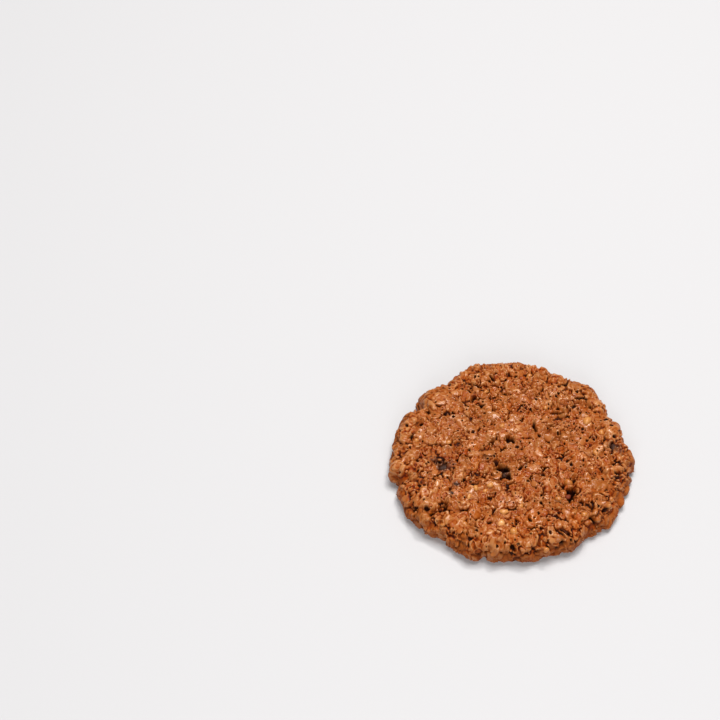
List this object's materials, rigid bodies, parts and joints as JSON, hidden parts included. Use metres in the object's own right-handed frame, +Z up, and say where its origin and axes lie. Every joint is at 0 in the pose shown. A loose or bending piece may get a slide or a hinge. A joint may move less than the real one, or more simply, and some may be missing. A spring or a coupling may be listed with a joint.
{
  "type": "oatmeal cranberry cookie",
  "caption": "Round baked oatmeal cookie with dried cranberry, lying flat: craggy cobbled crust with pits and oat grains, scalloped edge, flat base.",
  "frame": {"origin": "middle of the flat base, on the surface that the cookie lies on", "axes": "+Z up out of the craggy top, +X to the right along the widest way across"},
  "size_m": [0.095, 0.0916, 0.0127],
  "materials": {
    "crust": "baked dough: craggy, satin on the plates and slightly glossy on the sugared grains",
    "oats": "sugar-coated oat grains, slightly glossy",
    "fruit": "dried cranberry skin, dark and wrinkled, satin"
  },
  "bodies": {
    "root": {"cookie": "crust"}
  },
  "joints": []
}
